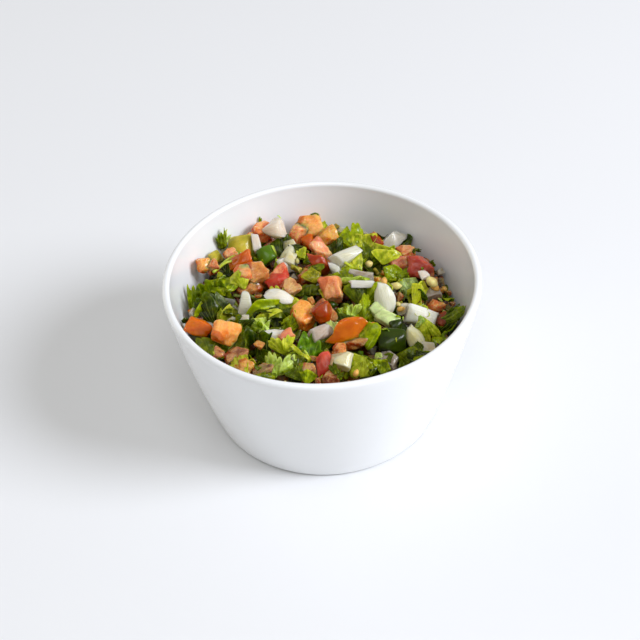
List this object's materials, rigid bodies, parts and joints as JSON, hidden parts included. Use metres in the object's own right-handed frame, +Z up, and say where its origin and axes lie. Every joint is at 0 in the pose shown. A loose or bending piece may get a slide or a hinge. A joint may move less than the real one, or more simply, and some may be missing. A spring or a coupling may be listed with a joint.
{
  "type": "dish of pico de gallo",
  "caption": "Round white bowl with straight sloping sides and a rounded lip, filled with a heap of diced tomato, onion and chilli with chopped coriander leaves.",
  "frame": {"origin": "centre of the foot ring's underside, on the surface the bowl stands on", "axes": "+Z up along the bowl's axis; -Y towards the side the picture was taken from, +X to the right in the picture"},
  "size_m": [0.12, 0.12, 0.0625],
  "materials": {
    "white_glaze": "satin",
    "pico": "gloss",
    "tomato": "gloss",
    "onion": "gloss",
    "coriander": "satin",
    "chilli": "gloss",
    "seed": "satin"
  },
  "bodies": {
    "root": {"bowl": "white_glaze", "pico_heap": "pico"}
  },
  "joints": []
}
